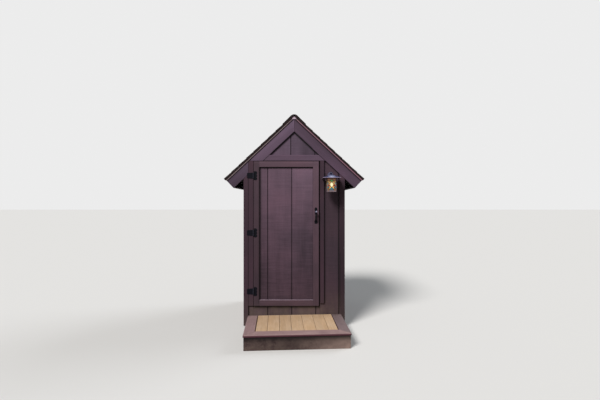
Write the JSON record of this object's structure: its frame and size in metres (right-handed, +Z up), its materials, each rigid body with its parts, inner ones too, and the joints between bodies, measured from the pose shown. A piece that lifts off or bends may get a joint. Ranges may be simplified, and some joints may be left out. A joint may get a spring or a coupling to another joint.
{
  "type": "wooden outhouse",
  "caption": "Narrow wooden outhouse with a steep gabled shingle roof, grooved siding, a trimmed door with a thumb latch, a wall lantern and a low plank step.",
  "frame": {"origin": "on the ground in the middle of the hut, at the underside of the middle skid", "axes": "+Z up, -Y out of the front wall with the door, +X to the right as seen from the front"},
  "size_m": [1.7774, 2.0155, 2.6901],
  "materials": {
    "stained_siding": "dark brown-purple solid stain on grooved sheet siding, matt",
    "stained_trim": "dark brown-purple solid stain on boards, matt",
    "lumber": "bare softwood lumber",
    "plywood": "bare plywood",
    "shingle": "mineral-coated asphalt shingles, rough",
    "drip_metal": "dusty pinkish painted metal",
    "black_iron": "black powder-coated steel, satin",
    "lantern_metal": "blue-grey zinc, satin",
    "lantern_glass": "coloured leaded glass",
    "tan_deck": "tan deck boards, matt",
    "dark_deck": "worn mauve-brown stained deck boards",
    "step_skirt": "dirty grey-brown stained boards"
  },
  "bodies": {
    "hut": {"floor_skids": "lumber", "floor_joists": "lumber", "floor_sheet": "plywood", "wall_plates": "lumber", "wall_studs": "lumber", "door_header": "lumber", "door_sill": "stained_trim", "door_stops": "stained_trim", "ridge_board": "lumber", "rafters": "lumber", "roof_sheathing": "plywood", "roof_shingles": "shingle", "ridge_cap": "shingle", "drip_edges": "drip_metal", "rake_boards_left": "stained_trim", "rake_boards_right": "stained_trim", "eave_fascias": "stained_trim", "front_wall_left": "stained_siding", "front_wall_right": "stained_siding", "front_wall_base": "stained_siding", "front_gable": "stained_siding", "back_wall": "stained_siding", "left_wall": "stained_siding", "right_wall": "stained_siding", "tie_board": "stained_trim", "corner_boards": "stained_trim", "side_corner_boards": "stained_trim", "door_casings": "stained_trim", "hinge_straps": "black_iron", "lantern_mount": "black_iron", "lantern_cap": "lantern_metal", "lantern_frame": "lantern_metal", "lantern_glass": "lantern_glass", "step_skirts": "step_skirt", "step_bearers": "lumber", "step_boards": "tan_deck", "step_border": "dark_deck"},
    "door": {"door_panel": "stained_siding", "door_trim": "stained_trim", "door_ledges": "stained_trim", "hinge_plates": "black_iron", "door_handle": "black_iron", "latch_base": "black_iron"},
    "thumb": {"thumb_lever": "black_iron"},
    "latch": {"latch_bar": "black_iron"}
  },
  "joints": [
    {"name": "door_swing", "type": "hinge", "parent": "hut", "child": "door", "pos_m": [-0.5155, -0.6465, 1.1855], "axis": [0, 0, -1], "range_deg": [0, 150]},
    {"name": "thumb_press", "type": "hinge", "parent": "door", "child": "thumb", "pos_m": [0.275, -0.651, 1.461], "axis": [1, 0, 0], "range_deg": [0, 11.5]},
    {"name": "bar_lift", "type": "hinge", "parent": "door", "child": "latch", "pos_m": [0.1195, -0.594, 1.4773], "axis": [0, -1, 0], "range_deg": [0, 4.75]}
  ],
  "couplings": [
    {"joint": "bar_lift", "follows": "thumb_press", "ratio": 0.41}
  ]
}
